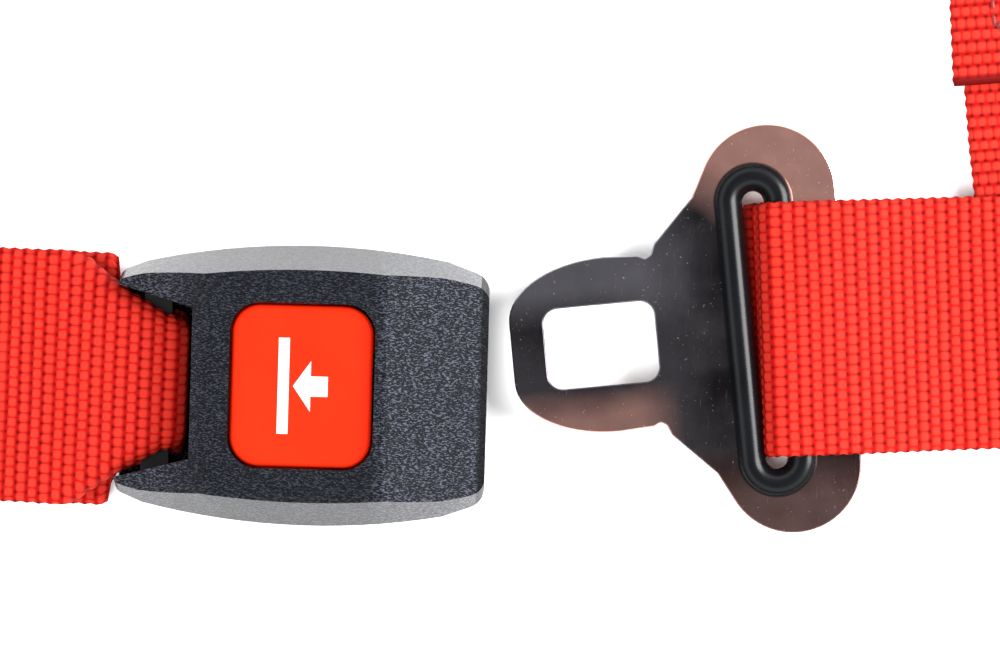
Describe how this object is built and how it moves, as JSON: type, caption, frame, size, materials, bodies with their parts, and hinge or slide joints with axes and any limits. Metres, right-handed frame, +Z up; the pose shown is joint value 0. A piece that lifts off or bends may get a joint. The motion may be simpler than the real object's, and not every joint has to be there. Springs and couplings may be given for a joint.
{
  "type": "racing harness",
  "caption": "Four-point racing harness laid flat: push-button buckle, plated tongue, lap and shoulder straps with slides, adjusters and bolt-in anchor plates.",
  "frame": {"origin": "centre of the buckle's flat underside, on the surface the harness lies on", "axes": "+X from the buckle towards the tongue along the lap straps, +Y towards the shoulder anchors, +Z up from the surface, out of the release button"},
  "size_m": [0.6222, 0.393, 0.022],
  "materials": {
    "red_webbing": "coarse woven polyester",
    "housing_plastic": "grained moulded nylon",
    "inner_plastic": "plain moulded acetal",
    "button_red": "satin moulded plastic",
    "liner_black": "gloss",
    "bright_plating": "polished plated steel",
    "zinc_steel": "zinc plated",
    "bright_steel": "ground",
    "spring_steel": "drawn wire",
    "black_steel": "black oxide"
  },
  "bodies": {
    "buckle_side": {"buckle_top_cover": "housing_plastic", "buckle_bottom_cover": "housing_plastic", "buckle_frame": "black_steel", "cover_screws": "black_steel", "latch_pin": "bright_steel", "latch_spring": "spring_steel", "ejector_spring": "spring_steel", "lap_webbing_left": "red_webbing", "lap_slide_left": "black_steel", "shoulder_link_left": "red_webbing"},
    "tongue_side": {"lap_webbing_right": "red_webbing", "lap_slide_right": "black_steel", "shoulder_link_right": "red_webbing"},
    "tongue": {"tongue": "bright_plating", "tongue_slot_liner": "liner_black"},
    "release_button": {"release_button": "button_red"},
    "latch": {"latch_plate": "zinc_steel"},
    "ejector": {"ejector": "inner_plastic"},
    "lap_anchor_left": {"lap_anchor_left": "zinc_steel"},
    "shoulder_belt_left": {"shoulder_adjuster_left": "black_steel", "shoulder_lock_bar_left": "bright_steel", "shoulder_webbing_left": "red_webbing", "shoulder_slide_left": "black_steel"},
    "shoulder_anchor_left": {"shoulder_anchor_left": "zinc_steel"},
    "lap_anchor_right": {"lap_anchor_right": "zinc_steel"},
    "shoulder_belt_right": {"shoulder_adjuster_right": "black_steel", "shoulder_lock_bar_right": "bright_steel", "shoulder_webbing_right": "red_webbing", "shoulder_slide_right": "black_steel"},
    "shoulder_anchor_right": {"shoulder_anchor_right": "zinc_steel"}
  },
  "joints": [
    {"name": "tongue_insert", "type": "slide", "parent": "buckle_side", "child": "tongue_side", "axis": [-0.921, -0.3896, 0], "range_m": [0, 0.0352]},
    {"name": "tongue_swivel", "type": "hinge", "parent": "tongue_side", "child": "tongue", "pos_m": [0.09262, 0.01371, 0.007], "axis": [0, 0, -1], "range_deg": [0, 7]},
    {"name": "ejector_slide", "type": "slide", "parent": "buckle_side", "child": "ejector", "axis": [-1, 0, 0], "range_m": [0, 0.0067], "deforming": ["ejector_spring"]},
    {"name": "button_press", "type": "slide", "parent": "buckle_side", "child": "release_button", "axis": [0, 0, 1], "range_m": [0, 0.0035]},
    {"name": "latch_pivot", "type": "hinge", "parent": "buckle_side", "child": "latch", "pos_m": [0.0042, 0, 0.0111], "axis": [0, 1, 0], "range_deg": [0, 20], "deforming": ["latch_spring"]},
    {"name": "lap_anchor_left_swing", "type": "hinge", "parent": "buckle_side", "child": "lap_anchor_left", "pos_m": [-0.22497, 0.00342, 0.0049], "axis": [0.0175, 0.9998, 0], "range_deg": [0, 75]},
    {"name": "shoulder_belt_left_swing", "type": "hinge", "parent": "buckle_side", "child": "shoulder_belt_left", "pos_m": [-0.09159, 0.119, 0.0049], "axis": [0.9981, -0.061, 0], "range_deg": [0, 60]},
    {"name": "shoulder_anchor_left_swing", "type": "hinge", "parent": "shoulder_belt_left", "child": "shoulder_anchor_left", "pos_m": [-0.08084, 0.29467, 0.0049], "axis": [0.9981, -0.061, 0], "range_deg": [0, 75]},
    {"name": "lap_anchor_right_swing", "type": "hinge", "parent": "tongue_side", "child": "lap_anchor_right", "pos_m": [0.28825, 0.02568, 0.0049], "axis": [0.061, -0.9981, 0], "range_deg": [0, 75]},
    {"name": "shoulder_belt_right_swing", "type": "hinge", "parent": "tongue_side", "child": "shoulder_belt_right", "pos_m": [0.14996, 0.13533, 0.0049], "axis": [0.9945, 0.1045, 0], "range_deg": [0, 60]},
    {"name": "shoulder_anchor_right_swing", "type": "hinge", "parent": "shoulder_belt_right", "child": "shoulder_anchor_right", "pos_m": [0.13156, 0.31037, 0.0049], "axis": [0.9945, 0.1045, 0], "range_deg": [0, 75]}
  ],
  "couplings": [
    {"joint": "tongue_swivel", "follows": "tongue_insert", "rad_per_m": 3.4706},
    {"joint": "ejector_slide", "follows": "tongue_insert", "ratio": 0.19031},
    {"joint": "latch_pivot", "follows": "button_press", "rad_per_m": 99.732}
  ]
}
